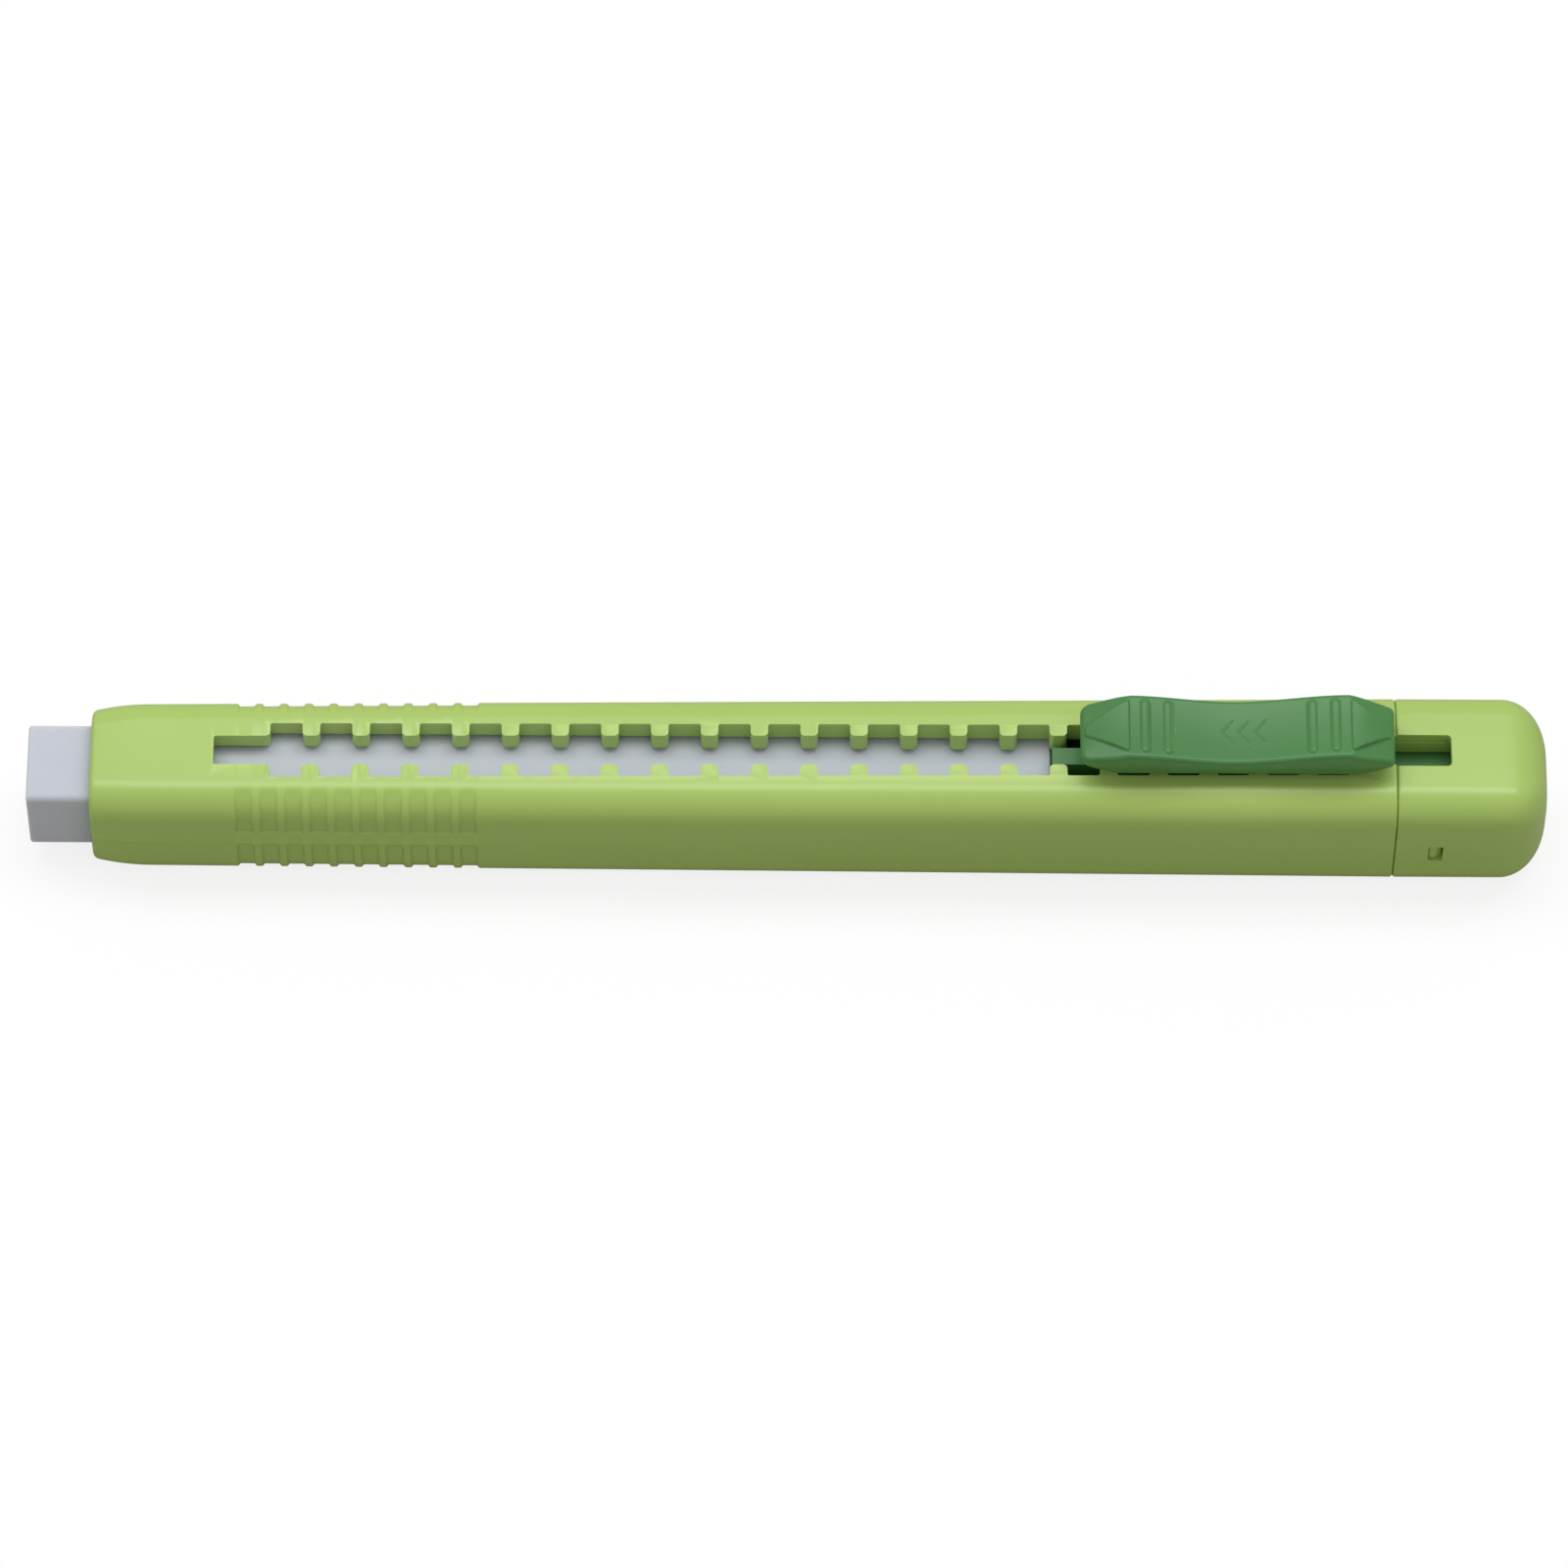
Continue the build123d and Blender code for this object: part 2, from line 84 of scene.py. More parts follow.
grip_setback = 11.35 * mm
grip_x = mouth_x + grip_setback
grip_rib_count = 9
grip_rib_pitch = 1.935 * mm
grip_rib_crest = 0.5 * mm
grip_margin = 1.65 * mm
grip_depth = 0.23 * mm
grip_flank_places = (-0.06 * mm, 0, 0.06 * mm, 0.12 * mm, 0.18 * mm)
grip_flank_shares = (0, 0.12, 0.5, 0.88, 1)
grip_fade_start = 62
grip_fade_end = 74
land_low = -0.44 * mm
land_high = 1.54 * mm
land_edge_step = 0.06 * mm
land_edge_shares = (1, 0.88, 0.5, 0.12, 0)

parting_ridge_height = 0.035 * mm
parting_ridge_half_width = 0.07 * mm
parting_ridge_end_x = -6 * mm
parting_ridge_fade = 12 * mm


def side_at(x):
    """The barrel's outer width and height at x, behind the nose."""
    share = (x - nose_x) / (seam_x - nose_x)
    return front_side + (rear_side - front_side) * share


def half_section(width, low, high, radius, rows):
    """Points up one side of a rounded section, each with the angle of its face from level and its row's number."""
    points = []
    for step in range(corner_steps + 1):
        angle = -90 + 90 * step / corner_steps
        y = width / 2 - radius + radius * cos(radians(angle))
        points.append((y, low + radius + radius * sin(radians(angle)), angle, None))
    for number, row in enumerate(rows):
        points.append((width / 2, (low + high) / 2 + row, 0, number))
    for step in range(corner_steps + 1):
        angle = 90 * step / corner_steps
        y = width / 2 - radius + radius * cos(radians(angle))
        points.append((y, high - radius + radius * sin(radians(angle)), angle, None))
    return points


def both_sides(x, half):
    """A whole ring of points at x from the points up one side."""
    return [Vector((x, y, z)) for y, z in half] + [Vector((x, -y, z)) for y, z in reversed(half)]


def skin(name, rings, closed=False):
    """A mesh piece from rings of points: closed in a loop, or with a flat face at each end."""
    mesh = bpy.data.meshes.new(name)
    count = len(rings[0])
    faces = []
    for first in range(len(rings) if closed else len(rings) - 1):
        second = (first + 1) % len(rings)
        for k in range(count):
            n = (k + 1) % count
            faces.append((first * count + k, second * count + k, second * count + n, first * count + n))
    if not closed:
        faces.append(tuple(range(count)))
        faces.append(tuple(reversed(range((len(rings) - 1) * count, len(rings) * count))))
    mesh.from_pydata([p for ring in rings for p in ring], [], faces)
    shape = bmesh.new()
    shape.from_mesh(mesh)
    bmesh.ops.recalc_face_normals(shape, faces=shape.faces)
    shape.to_mesh(mesh)
    shape.free()
    piece = bpy.data.objects.new(name, mesh)
    bpy.context.scene.collection.objects.link(piece)
    return piece


def prism(name, outline, bottom, top, axis="Z"):
    """A straight prism over an outline, along Z or along Y."""
    if axis == "Z":
        rings = [[Vector((x, y, level)) for x, y in outline] for level in (bottom, top)]
    else:
        rings = [[Vector((x, level, z)) for x, z in outline] for level in (bottom, top)]
    return skin(name, rings)


def cut(piece, cutter):
    """Takes the cutter's space out of the piece, for good."""
    change = piece.modifiers.new("cut", "BOOLEAN")
    change.operation = "DIFFERENCE"
    change.solver = "EXACT"
    change.object = cutter
    bpy.context.view_layer.update()
    result = bpy.data.meshes.new_from_object(piece.evaluated_get(bpy.context.evaluated_depsgraph_get()))
    piece.modifiers.remove(change)
    piece.data = result
    bpy.data.objects.remove(cutter)


def soft_edges(piece, width, angle=40, steps=3):
    """Breaks every sharp edge as a mould does, and keeps flat faces flat in the light."""
    for face in piece.data.polygons:
        face.use_smooth = True
    bevel = piece.modifiers.new("soft edges", "BEVEL")
    bevel.width = width
    bevel.segments = steps
    bevel.limit_method = "ANGLE"
    bevel.angle_limit = radians(angle)
    bevel.use_clamp_overlap = True
    normals = piece.modifiers.new("flat faces", "WEIGHTED_NORMAL")
    normals.mode = "FACE_AREA"
    normals.weight = 90
    normals.keep_sharp = False


grip_edges = [grip_x]
for rib in range(grip_rib_count):
    rib_x = grip_x + grip_margin + rib * grip_rib_pitch
    grip_edges += [rib_x - grip_rib_crest / 2, rib_x + grip_rib_crest / 2]
grip_edges.append(grip_edges[-1] + grip_margin - grip_rib_crest / 2)
grip_stations = []
for left, right in zip(grip_edges[::2], grip_edges[1::2]):
    for place, share in zip(grip_flank_places, grip_flank_shares):
        grip_stations.append((left + place, share))
    for place, share in reversed(list(zip(grip_flank_places, grip_flank_shares))):
        grip_stations.append((right - place, share))

land_steps = [place * land_edge_step for place in (-2, -1, 0, 1, 2)]
side_rows = [land_low + step for step in land_steps]
side_rows += [-parting_ridge_half_width, 0, parting_ridge_half_width]
side_rows += [land_high - step for step in reversed(land_steps)]
row_shares = [*land_edge_shares, 0, 0, 0, *reversed(land_edge_shares)]
ridge_row = len(land_steps) + 1


def barrel_ring(x, width, low, high, radius, grip_share=0.0, ridge=0.0):
    """One ring round the barrel, with the grip panels and the parting line in its sides."""
    half = []
    for y, z, angle, row in half_section(width, low, high, radius, side_rows):
        if row is None:
            fade = min(1, max(0, (grip_fade_end - abs(angle)) / (grip_fade_end - grip_fade_start)))
            y -= grip_depth * grip_share * fade
        else:
            y -= grip_depth * grip_share * row_shares[row]
            if row == ridge_row:
                y += ridge
        half.append((y, z))
    return both_sides(x, half)


def ridge_at(x):
    """How high the parting line stands at x: it fades out towards the back."""
    return parting_ridge_height * min(1, max(0, (parting_ridge_end_x - x) / parting_ridge_fade))


mouth_rings = []
for step in range(7):
    angle = radians(90 - 15 * step)
    back = mouth_edge_radius * (1 - sin(angle))
    turn = mouth_edge_radius * (1 - cos(angle))
    drop = nose_drop * (1 - back / nose_length) ** 2 + turn
    mouth_rings.append((mouth_x + back, front_side - 2 * drop, drop, front_side - drop, corner_radius - turn))
nose_rings = []
for step in range(1, 15):
    back = mouth_edge_radius + (nose_length - mouth_edge_radius) * step / 14
    drop = nose_drop * (1 - back / nose_length) ** 2
    nose_rings.append((mouth_x + back, front_side - 2 * drop, drop, front_side - drop, corner_radius))
for place in rear_ring_places:
    side = side_at(mouth_x + place)
    nose_rings.append((mouth_x + place, side, 0, side, corner_radius))
grip_rings = [(x, side_at(x), 0, side_at(x), corner_radius, share) for x, share in grip_stations]
seam_rings = []
for step in range(5):
    angle = radians(22.5 * step)
    turn = seam_edge_radius * (1 - cos(angle))
    x = seam_x - seam_edge_radius * (1 - sin(angle))
    seam_rings.append((x, rear_side - 2 * turn, turn, rear_side - turn, corner_radius - turn))
spigot_low = (rear_side - spigot_side) / 2
bore_low = bore_axis_z - bore_height / 2
mouth_low = bore_axis_z - mouth_side / 2
inner_rings = [
    (seam_x, spigot_side, spigot_low, spigot_low + spigot_side, spigot_corner_radius),
    (spigot_end_x, spigot_side, spigot_low, spigot_low + spigot_side, spigot_corner_radius),
    (spigot_end_x, bore_width, bore_low, bore_low + bore_height, bore_corner_radius),
    (mouth_x + mouth_lip_length, bore_width, bore_low, bore_low + bore_height, bore_corner_radius),
    (mouth_x + mouth_lip_length, mouth_side, mouth_low, mouth_low + mouth_side, mouth_corner_radius),
]
for step in range(5):
    angle = radians(22.5 * step)
    turn = mouth_inner_radius * (1 - cos(angle))
    x = mouth_x + mouth_inner_radius * (1 - sin(angle))
    side = mouth_side + 2 * turn
    inner_rings.append((x, side, mouth_low - turn, mouth_low - turn + side, mouth_corner_radius + turn))
loop = [barrel_ring(*ring, ridge=ridge_at(ring[0])) for ring in mouth_rings + nose_rings]
loop += [barrel_ring(*ring, ridge=ridge_at(ring[0])) for ring in grip_rings]
for step in range(1, 8):
    x = grip_edges[-1] + (parting_ridge_end_x + parting_ridge_fade - grip_edges[-1]) * step / 8
    loop.append(barrel_ring(x, side_at(x), 0, side_at(x), corner_radius, ridge=ridge_at(x)))
loop += [barrel_ring(*ring) for ring in seam_rings + inner_rings]
barrel = skin("barrel_shell", loop, closed=True)

slot_setback = 9.6 * mm
slot_start_x = mouth_x + slot_setback
slot_width = 2.58 * mm
slot_end_radius = 0.2 * mm
last_notch = 21
notch_pitch = 3.87 * mm
notch_length = 2.51 * mm
notch_front_width = 4.87 * mm
notch_rear_width = 4.5 * mm
notch_corner_radius = 0.18 * mm
tooth_tip_radius = 0.38 * mm
first_notch_gap = 4.38 * mm
first_notch_x = slot_start_x + first_notch_gap + notch_length / 2
slot_overrun = 2 * mm
barrel_edge_break = 0.09 * mm


def rounded(corners, steps=6):
    """The outline through square corners, each given with its own radius."""
    outline = []
    for k, (x, y, radius) in enumerate(corners):
        if not radius:
            outline.append((x, y))
            continue
        place = Vector((x, y))
        back = (Vector(corners[k - 1][:2]) - place).normalized() * radius
        ahead = (Vector(corners[(k + 1) % len(corners)][:2]) - place).normalized() * radius
        for step in range(steps + 1):
            turn = radians(90 * step / steps)
            point = place + back + ahead - ahead * cos(turn) - back * sin(turn)
            outline.append((point.x, point.y))
    return outline


edge = [(slot_start_x, slot_width / 2, slot_end_radius)]
for notch in range(last_notch + 1):
    x = first_notch_x + notch * notch_pitch
    notch_width = notch_front_width + (notch_rear_width - notch_front_width) * notch / last_notch
    edge += [
        (x - notch_length / 2, slot_width / 2, tooth_tip_radius),
        (x - notch_length / 2, notch_width / 2, notch_corner_radius),
        (x + notch_length / 2, notch_width / 2, notch_corner_radius),
        (x + notch_length / 2, slot_width / 2, tooth_tip_radius),
    ]
edge.append((spigot_end_x + slot_overrun, slot_width / 2, 0))
slot_outline = rounded(edge + [(x, -y, radius) for x, y, radius in reversed(edge)])
cut(barrel, prism("slot_cutter", slot_outline, bore_axis_z, rear_side + slot_overrun))
soft_edges(barrel, barrel_edge_break)


def light_level(value):
    """A colour written as it looks on a screen, as the renderer's own linear one."""
    return [v / 12.92 if v <= 0.04045 else ((v + 0.055) / 1.055) ** 2.4 for v in value]


def moulded_plastic(name, colour, deep, worn, gloss, clarity, shine=0.5):
    """Injection moulded plastic: slow flow marks, fine grain, faint rubbed streaks and paler worn edges."""
    material = bpy.data.materials.new(name)
    material.use_nodes = True
    nodes, links = material.node_tree.nodes, material.node_tree.links
    shader = nodes["Principled BSDF"]
    shader.inputs["IOR"].default_value = 1.49
    shader.inputs["Specular IOR Level"].default_value = shine
    shader.inputs["Subsurface Weight"].default_value = clarity
    shader.inputs["Subsurface Radius"].default_value = (1.0, 1.0, 0.5)
    shader.inputs["Subsurface Scale"].default_value = 0.0008
    place = nodes.new("ShaderNodeTexCoord")

    def noise(scale, detail, stretch=(1, 1, 1)):
        mapping = nodes.new("ShaderNodeMapping")
        mapping.inputs["Scale"].default_value = stretch
        links.new(place.outputs["Object"], mapping.inputs["Vector"])
        texture = nodes.new("ShaderNodeTexNoise")
        texture.inputs["Scale"].default_value = scale
        texture.inputs["Detail"].default_value = detail
        links.new(mapping.outputs["Vector"], texture.inputs["Vector"])
        return texture.outputs["Fac"]

    def spread(source, low, high, start, end):
        ramp = nodes.new("ShaderNodeMapRange")
        for socket, value in zip(("From Min", "From Max", "To Min", "To Max"), (low, high, start, end)):
            ramp.inputs[socket].default_value = value
        links.new(source, ramp.inputs["Value"])
        return ramp.outputs["Result"]

    def mix(amount, first, second):
        blend = nodes.new("ShaderNodeMix")
        blend.data_type = "RGBA"
        links.new(amount, blend.inputs["Factor"])
        for socket, value in (("A", first), ("B", second)):
            target = [s for s in blend.inputs if s.name == socket and s.type == "RGBA"][0]
            if isinstance(value, list):
                target.default_value = (*value, 1)
            else:
                links.new(value, target)
        return [s for s in blend.outputs if s.type == "RGBA"][0]

    flow = spread(noise(scale=90, detail=3, stretch=(0.4, 1, 1)), low=0.35, high=0.65, start=0, end=1)
    edges = nodes.new("ShaderNodeNewGeometry")
    wear = spread(edges.outputs["Pointiness"], low=0.53, high=0.62, start=0, end=0.35)
    body = mix(flow, light_level(colour), light_level(deep))
    links.new(mix(wear, body, light_level(worn)), shader.inputs["Base Color"])
    streaks = noise(scale=900, detail=2, stretch=(0.08, 1, 1))
    rubbed = spread(streaks, low=0.3, high=0.7, start=gloss - 0.015, end=gloss + 0.02)
    links.new(rubbed, shader.inputs["Roughness"])
    grain = nodes.new("ShaderNodeBump")
    grain.inputs["Strength"].default_value = 0.12
    grain.inputs["Distance"].default_value = 0.00002
    links.new(noise(scale=2600, detail=3), grain.inputs["Height"])
    links.new(grain.outputs["Normal"], shader.inputs["Normal"])
    return material


light_green = moulded_plastic(
    "light_green_plastic",
    colour=(0.632, 0.742, 0.38),
    deep=(0.616, 0.728, 0.364),
    worn=(0.74, 0.84, 0.5),
    gloss=0.3,
    clarity=0.1,
)
barrel.data.materials.append(light_green)
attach(barrel, "barrel_body")
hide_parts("barrel")

# Snap lugs: two small wedges moulded on the sides of the spigot. They spring into the cap's windows and hold it.
lug_setback = 3.2 * mm
lug_x = seam_x + lug_setback
lug_length = 1.0 * mm
lug_height = 2.0 * mm
lug_drop = 0.5 * mm
lug_z = rear_side / 2 - lug_drop
lug_reach = 0.7 * mm
lug_edge_break = 0.06 * mm
for name, side in (("snap_lug_near", -1), ("snap_lug_far", 1)):
    root = side * (spigot_side / 2 - spigot_clearance)
    crest = side * (spigot_side / 2 + lug_reach)
    half_crest = side * (spigot_side / 2 + lug_reach / 2)
    outline = [
        (lug_x - lug_length / 2, root),
        (lug_x - lug_length / 2, crest),
        (lug_x, crest),
        (lug_x + lug_length / 2, half_crest),
        (lug_x + lug_length / 2, root),
    ]
    lug = prism(name, outline, lug_z - lug_height / 2, lug_z + lug_height / 2)
    soft_edges(lug, lug_edge_break)
    lug.data.materials.append(light_green)
    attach(lug, "barrel_body")
    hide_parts("barrel")

# End cap: a light green moulded shell with a rounded end, pushed over the spigot. It carries the end of the slot
# and has a snap window in each side, where a lug of the spigot holds it.
cap_cavity_depth = 8.6 * mm
cap_cavity_radius = spigot_corner_radius + spigot_clearance
cap_end_radius = 3.5 * mm
cap_end_sweep = 80
cap_end_steps = 16
cap_round_length = cap_end_radius * sin(radians(cap_end_sweep))
cap_corner_loss_share = 0.35
cap_slot_length = 4.25 * mm
cap_slot_clearance = 0.09 * mm
cap_slot_width = slot_width + 2 * cap_slot_clearance
cap_slot_radius = 0.35 * mm
window_clearance = 0.06 * mm
window_length = lug_length + 2 * window_clearance
window_height = lug_height + 2 * window_clearance
window_radius = 0.15 * mm
cap_edge_break = 0.07 * mm


def cap_ring(x, inset, radius):
    """One ring round the cap, drawn in by inset all round."""
    half = half_section(rear_side - 2 * inset, inset, rear_side - inset, radius, ())
    return both_sides(x, [(y, z) for y, z, angle, row in half])


rings = [
    cap_ring(seam_x + cap_cavity_depth, cap_wall, cap_cavity_radius),
    cap_ring(cap_low.x, cap_wall, cap_cavity_radius),
]
for step in range(5):
    angle = radians(90 - 22.5 * step)
    turn = seam_edge_radius * (1 - cos(angle))
    rings.append(cap_ring(cap_low.x + seam_edge_radius * (1 - sin(angle)), turn, corner_radius - turn))
for step in range(cap_end_steps + 1):
    angle = radians(cap_end_sweep * step / cap_end_steps)
    inset = cap_end_radius * (1 - cos(angle))
    loss = cap_corner_loss_share * corner_radius * inset / cap_end_radius
    x = cap_high.x - cap_round_length + cap_end_radius * sin(angle)
    rings.append(cap_ring(x, inset, corner_radius - loss))
end_cap = skin("end_cap_shell", rings)
cap_slot = rounded([
    (cap_low.x - slot_overrun, cap_slot_width / 2, 0),
    (seam_x + cap_slot_length, cap_slot_width / 2, cap_slot_radius),
    (seam_x + cap_slot_length, -cap_slot_width / 2, cap_slot_radius),
    (cap_low.x - slot_overrun, -cap_slot_width / 2, 0),
])
cut(end_cap, prism("cap_slot_cutter", cap_slot, rear_side / 2, rear_side + slot_overrun))
window = rounded([
    (lug_x - window_length / 2, lug_z - window_height / 2, window_radius),
    (lug_x + window_length / 2, lug_z - window_height / 2, window_radius),
    (lug_x + window_length / 2, lug_z + window_height / 2, window_radius),
    (lug_x - window_length / 2, lug_z + window_height / 2, window_radius),
])
cut(end_cap, prism("window_cutter", window, -rear_side, rear_side, axis="Y"))
soft_edges(end_cap, cap_edge_break)
end_cap.data.materials.append(light_green)
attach(end_cap, "barrel_body")
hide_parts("end_cap")

# Eraser: a square bar of white vinyl, pressed and cut to length. It stands out of the mouth, shows through the
# slot and is gripped at its back end by the holder's jaws.
eraser_low, eraser_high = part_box("eraser")
eraser_corner_radius = 0.55 * mm
eraser_end_radius = 0.25 * mm
eraser_corner_loss_share = 0.9
rings = []
for end_x, way in ((eraser_low.x, 1), (eraser_high.x, -1)):
    end_rings = []
    for step in range(6):
        angle = radians(90 - 18 * step)
        turn = eraser_end_radius * (1 - cos(angle))
        x = end_x + way * eraser_end_radius * (1 - sin(angle))
        half = half_section(
            eraser_high.y - eraser_low.y - 2 * turn,
            eraser_low.z + turn,
            eraser_high.z - turn,
            eraser_corner_radius - turn * eraser_corner_loss_share,
            (),
        )
        end_rings.append(both_sides(x, [(y, z) for y, z, angle, row in half]))
    rings += end_rings[::way]
eraser = skin("eraser_bar", rings)
for face in eraser.data.polygons:
    face.use_smooth = True
normals = eraser.modifiers.new("flat faces", "WEIGHTED_NORMAL")
normals.weight = 90
vinyl = moulded_plastic(
    "white_vinyl",
    colour=(0.745, 0.76, 0.795),
    deep=(0.73, 0.745, 0.785),
    worn=(0.84, 0.85, 0.87),
    gloss=0.62,
    clarity=0.5,
    shine=0.25,
)
eraser.data.materials.append(vinyl)
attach(eraser, "eraser_body")
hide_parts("eraser")

# Eraser holder: the slider inside the bore, with its jaws, tray, front rail and rear deck. It is moulded in mid
# green plastic, and its mould breaks the edges by a few hundredths.
mid_green = moulded_plastic(
    "mid_green_plastic",
    colour=(0.275, 0.49, 0.26),
    deep=(0.25, 0.455, 0.238),
    worn=(0.38, 0.6, 0.36),
    gloss=0.32,
    clarity=0.05,
    shine=0.36,
)
holder_edge_break = 0.05 * mm
holder_weld_distance = 0.002 * mm
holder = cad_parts["eraser_holder"]
holder.data.materials.clear()
holder.data.materials.append(mid_green)
weld = holder.modifiers.new("weld", "WELD")
weld.merge_threshold = holder_weld_distance
soft_edges(holder, holder_edge_break)

# Thumb button: a mid green moulding. Its pad dips in the middle for the thumb and has two ribs and an arrowhead
# at each end, a neck that goes through the slot and a foot that hangs under it.
button_low, button_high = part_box("thumb_button")
pad_length = button_high.x - button_low.x
pad_width = button_high.y - button_low.y
pad_face_z = side_at((button_low.x + button_high.x) / 2)
pad_corner_radii = (0.7 * mm, 0.4 * mm)
pad_edge_radius = 0.34 * mm
pad_rim_height = 1.1 * mm
pad_end_rise = 0.74 * mm
pad_end_taper = 0.35 * mm
pad_end_length = 3.0 * mm
pad_end_curve = 1.3
pad_wall = 0.9 * mm
pad_core_depth = 0.7 * mm
pad_rim_softness = 0.12 * mm
top_line_shares = (0, 0.15, 0.485, 0.86, 1)
top_line_heights = (2.58 * mm, 3.6 * mm, 2.72 * mm, 3.85 * mm, 2.45 * mm)
top_line_slopes = (0.36, 0.0, 0.0, 0.0, -0.62)
pad_dish = 0.13 * mm
rib_height = 0.2 * mm
rib_width = 0.85 * mm
relief_margin = 0.41 * mm
rib_reach = pad_width / 2 - relief_margin
front_arrow_length = 3.8 * mm
rear_arrow_length = 3.45 * mm
rib_gaps = (1.2 * mm, 3.0 * mm)
arrow_tip_inset = 0.3 * mm
arrow_tip_half_width = 0.45 * mm
arrow_tip_softness = 0.1 * mm
arrow_root_softness = 0.3 * mm
flank_drop = 0.15 * mm
relief_softness = 0.11 * mm
crease_softness = 0.06 * mm
mark_places = (10.9 * mm, 12.2 * mm, 13.5 * mm)
mark_height = 0.09 * mm
mark_half_width = 1.05 * mm
mark_half_stroke = 0.11 * mm
mark_sweep = 0.85


def top_line(u):
    """The pad's height in side view at u behind its front end, above the slotted face."""
    share = min(1, max(0, u / pad_length))
    for k in range(len(top_line_shares) - 1):
        if share <= top_line_shares[k + 1]:
            break
    span = (top_line_shares[k + 1] - top_line_shares[k]) * pad_length
    t = (share - top_line_shares[k]) * pad_length / span
    start, end = top_line_heights[k], top_line_heights[k + 1]
    return (
        start * (2 * t**3 - 3 * t**2 + 1)
        + end * (3 * t**2 - 2 * t**3)
        + top_line_slopes[k] * span * (t**3 - 2 * t**2 + t)
        + top_line_slopes[k + 1] * span * (t**3 - t**2)
    )


def ease(t):
    """0 to 1 with a soft start and end."""
    t = min(1, max(0, t))
    return t * t * (3 - 2 * t)


def lesser(a, b, softness):
    """The lower of two heights, with the crease between them rounded."""
    gap = max(0, softness - abs(a - b)) / softness
    return min(a, b) - gap * gap * softness / 4


def end_share(u):
    """1 at both ends of the pad, falling to 0 where the ends begin."""
    return max(0, 1 - min(u, pad_length - u) / pad_end_length) ** pad_end_curve


def end_distance(u, end):
    """How far u is from the front end (0) or the back end (1) of the pad."""
    return pad_length - u if end else u


def arrow_relief(u, v, end):
    """How far the arrowhead at one end stands above the pad's top line, as a share."""
    length = (front_arrow_length, rear_arrow_length)[end]
    out = end_distance(u, end)
    slope = (rib_reach - arrow_tip_half_width) / (length - arrow_tip_inset)
    flank = (arrow_tip_half_width + slope * (out - arrow_tip_inset) - abs(v)) / sqrt(1 + slope**2)
    inside = lesser(flank, length - out, arrow_root_softness)
    inside = lesser(inside, out - arrow_tip_inset, arrow_tip_softness)
    return ease(inside / relief_softness)


def flank_height(u, v, end):
    """The height of the slanting corner beside an arrowhead."""
    length = (front_arrow_length, rear_arrow_length)[end]
    low = (top_line_heights[0], top_line_heights[-1])[end]
    high = (top_line_heights[1], top_line_heights[-2])[end]
    fall = flank_drop / (pad_width / 2 - arrow_tip_half_width)
    climb = (high - low + fall * (rib_reach - arrow_tip_half_width)) / length
    return low + climb * end_distance(u, end) - fall * (abs(v) - arrow_tip_half_width)


rib_places = [front_arrow_length + gap for gap in rib_gaps]
rib_places += [pad_length - rear_arrow_length - gap for gap in rib_gaps]
rib_arc = ((rib_width / 2) ** 2 + rib_height**2) / (2 * rib_height)


def rib_relief(u, v):
    """The height of the half round ribs at a point of the pad."""
    height = 0
    for place in rib_places:
        off = hypot(u - place, max(0, abs(v) - rib_reach + rib_width / 2))
        if off < rib_width / 2:
            height = sqrt(rib_arc**2 - off**2) - rib_arc + rib_height
    return height


def mark_relief(u, v):
    """The height of the three small arrowheads that show which way the eraser goes."""
    height = 0
    for place in mark_places:
        off = abs(u - place - mark_sweep * abs(v)) / sqrt(1 + mark_sweep**2)
        inside = min(mark_half_stroke - off, mark_half_width - abs(v))
        height = max(height, mark_height * ease(inside / mark_height))
    return height


def edge_distance(u, v):
    """How far a point of the pad is inside its rounded outline."""
    radius = pad_corner_radii[u > pad_length / 2]
    a = abs(u - pad_length / 2) - pad_length / 2 + radius
    b = abs(v) - pad_width / 2 + pad_end_taper * end_share(u) + radius
    return radius - hypot(max(0, a), max(0, b)) - min(0, max(a, b))


def pad_height(u, v):
    """The pad's upper surface above the slotted face."""
    dished = top_line(u) - pad_dish * (1 - (2 * v / pad_width) ** 2)
    base = dished
    for end in (0, 1):
        base = lesser(base, flank_height(u, v, end), crease_softness)
    relief = 0
    for end in (0, 1):
        share = arrow_relief(u, v, end)
        relief = max(relief, share * (dished + rib_height - base))
    relief = max(relief, rib_relief(u, v), mark_relief(u, v))
    short = max(0, pad_edge_radius - max(0, edge_distance(u, v)))
    return base + relief - pad_edge_radius + sqrt(pad_edge_radius**2 - short**2)


def pad_half_width(u):
    """Half the pad's width in plan, with its rounded corners."""
    radius = pad_corner_radii[u > pad_length / 2]
    short = max(0, radius - min(u, pad_length - u))
    return pad_width / 2 - pad_end_taper * end_share(u) - radius + sqrt(radius**2 - short**2)


